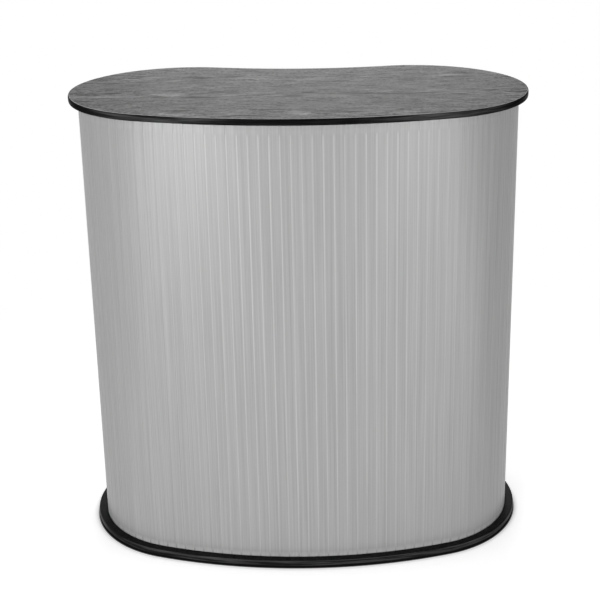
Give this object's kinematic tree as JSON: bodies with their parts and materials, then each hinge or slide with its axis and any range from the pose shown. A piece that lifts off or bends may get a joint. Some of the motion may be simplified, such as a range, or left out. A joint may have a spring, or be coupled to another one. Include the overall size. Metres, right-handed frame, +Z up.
{
  "type": "exhibition counter",
  "caption": "Kidney-shaped knock-down exhibition counter with a wood-grain top, an upright tambour wrap, an open back and an inner shelf on jointed poles.",
  "frame": {"origin": "on the floor, at the centre of the counter's own box seen from above", "axes": "+Z up, -Y towards the front, where the customer stands; the open back faces +Y; the two halves mirror each other across X = 0"},
  "size_m": [0.9494, 0.5084, 0.972],
  "materials": {
    "ash_laminate": "satin, dark grey ash wood grain",
    "black_board": "satin black laminate",
    "black_edge": "satin black",
    "silver_slat": "satin silver grey",
    "wrap_strip": "matt grey",
    "end_trim": "satin grey",
    "aluminium": "satin anodised",
    "cast_aluminium": "satin cast",
    "steel": "zinc plated",
    "nylon": "natural nylon",
    "rubber": "matt black"
  },
  "bodies": {
    "base": {"base_board": "black_board", "base_edge_band": "black_edge", "base_glide_front_right": "rubber", "base_glide_front_left": "rubber", "base_glide_side_right": "rubber", "base_glide_side_left": "rubber", "base_glide_back_right": "rubber", "base_glide_back_left": "rubber", "base_socket_front_right": "cast_aluminium", "base_socket_screw_front_right": "steel", "grub_screw_front_right": "steel", "lower_pole_front_right": "aluminium", "lower_washer_front_right": "nylon", "base_socket_front_left": "cast_aluminium", "base_socket_screw_front_left": "steel", "grub_screw_front_left": "steel", "lower_pole_front_left": "aluminium", "lower_washer_front_left": "nylon", "base_socket_back_right": "cast_aluminium", "base_socket_screw_back_right": "steel", "grub_screw_back_right": "steel", "lower_pole_back_right": "aluminium", "lower_washer_back_right": "nylon", "base_socket_back_left": "cast_aluminium", "base_socket_screw_back_left": "steel", "grub_screw_back_left": "steel", "lower_pole_back_left": "aluminium", "lower_washer_back_left": "nylon"},
    "shelf_frame": {"shelf_board": "black_board", "shelf_edge_band": "black_edge", "upper_pole_front_right": "aluminium", "spigot_front_right": "aluminium", "upper_washer_front_right": "nylon", "upper_pole_front_left": "aluminium", "spigot_front_left": "aluminium", "upper_washer_front_left": "nylon", "upper_pole_back_right": "aluminium", "spigot_back_right": "aluminium", "upper_washer_back_right": "nylon", "upper_pole_back_left": "aluminium", "spigot_back_left": "aluminium", "upper_washer_back_left": "nylon"},
    "wrap": {"tambour_wrap": "silver_slat", "wrap_top_strip": "wrap_strip", "wrap_end_trim_left": "end_trim", "wrap_end_trim_right": "end_trim"},
    "top": {"top_board": "ash_laminate", "top_edge_band": "black_edge", "top_socket_front_right": "cast_aluminium", "top_socket_screw_front_right": "steel", "top_socket_front_left": "cast_aluminium", "top_socket_screw_front_left": "steel", "top_socket_back_right": "cast_aluminium", "top_socket_screw_back_right": "steel", "top_socket_back_left": "cast_aluminium", "top_socket_screw_back_left": "steel"}
  },
  "joints": [
    {"name": "shelf_frame_lift", "type": "slide", "parent": "base", "child": "shelf_frame", "axis": [0, 0, 1], "range_m": [0, 0.04]},
    {"name": "wrap_lift", "type": "slide", "parent": "shelf_frame", "child": "wrap", "axis": [0, 0, 1], "range_m": [0, 0.95]},
    {"name": "top_lift", "type": "slide", "parent": "wrap", "child": "top", "axis": [0, 0, 1], "range_m": [0, 0.06]}
  ]
}
